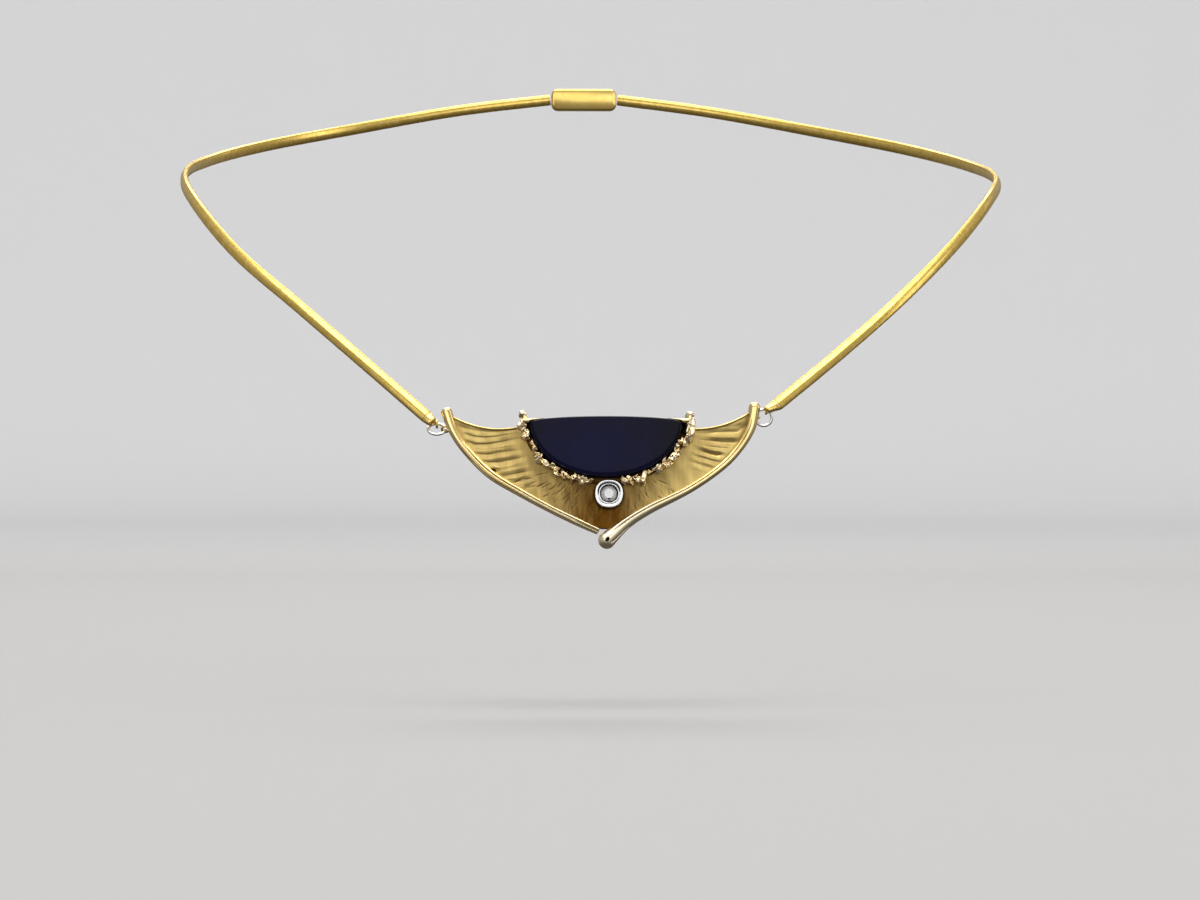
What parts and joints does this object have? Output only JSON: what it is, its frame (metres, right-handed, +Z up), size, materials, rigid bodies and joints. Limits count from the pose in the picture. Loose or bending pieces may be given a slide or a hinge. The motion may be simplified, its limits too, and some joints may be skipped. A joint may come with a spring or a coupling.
{
  "type": "gemstone necklace",
  "caption": "Gold necklace on a flat domed chain, with a pleated V-shaped pendant that holds a dark half-moon stone in a nugget border and a round stone in a white collet.",
  "frame": {"origin": "Middle of the clasp's inner face, where the necklace rests on the back of the neck.", "axes": "-Y to the wearer's front, +Z up, +X to the right of someone who faces the wearer. The necklace keeps its worn form."},
  "size_m": [0.1389, 0.1278, 0.082],
  "materials": {
    "yellow_gold": null,
    "white_gold": "polished white gold",
    "dark_stone": "polished, very dark blue",
    "clear_stone": "clear, faceted"
  },
  "bodies": {
    "root": {"drape": "yellow_gold", "half_moon_stone": "dark_stone", "diamond_setting": "white_gold", "diamond": "clear_stone", "left_ring": "white_gold", "right_ring": "white_gold", "left_tip": "yellow_gold", "right_tip": "yellow_gold", "left_chain": "yellow_gold", "right_chain": "yellow_gold", "clasp": "yellow_gold"}
  },
  "joints": []
}
